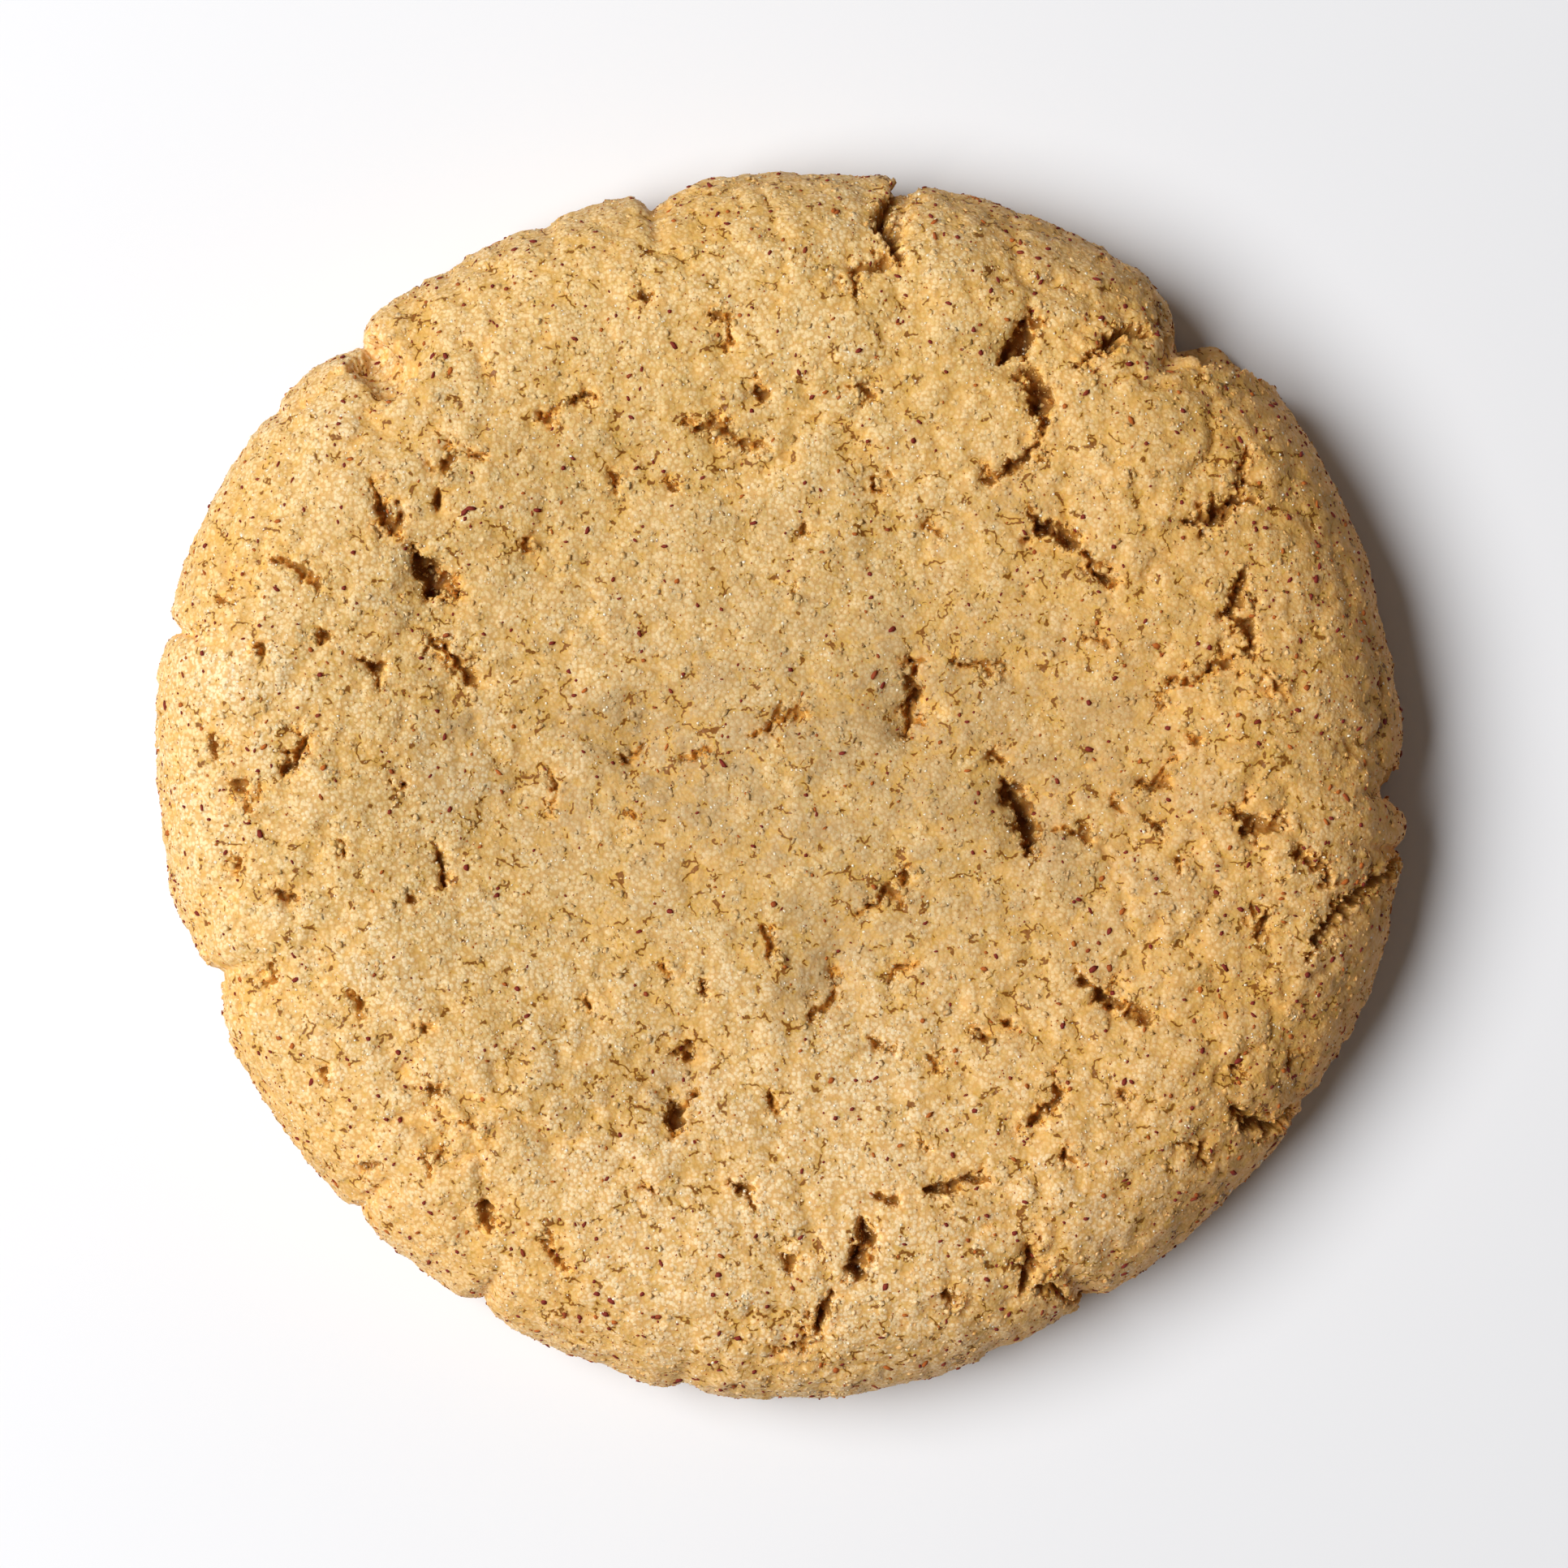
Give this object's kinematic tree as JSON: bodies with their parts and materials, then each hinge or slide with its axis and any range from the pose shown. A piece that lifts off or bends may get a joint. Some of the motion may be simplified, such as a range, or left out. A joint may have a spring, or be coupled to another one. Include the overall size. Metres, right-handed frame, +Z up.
{
  "type": "snickerdoodle cookie",
  "caption": "Thick round soft sugar cookie with a puffed rim, a sunken middle, a torn crackled top and a flat underside.",
  "frame": {"origin": "middle of the cookie's box in plan, at the height of its flat underside", "axes": "+Z up through the cookie's thickness, +Y towards the top edge of the reference picture, +X towards its right edge"},
  "size_m": [0.0822, 0.0808, 0.0125],
  "materials": {
    "baked_dough": "soft, matt baked sugar dough, golden cream, rough with sugar and flecked with cinnamon"
  },
  "bodies": {
    "root": {"cookie": "baked_dough"}
  },
  "joints": []
}
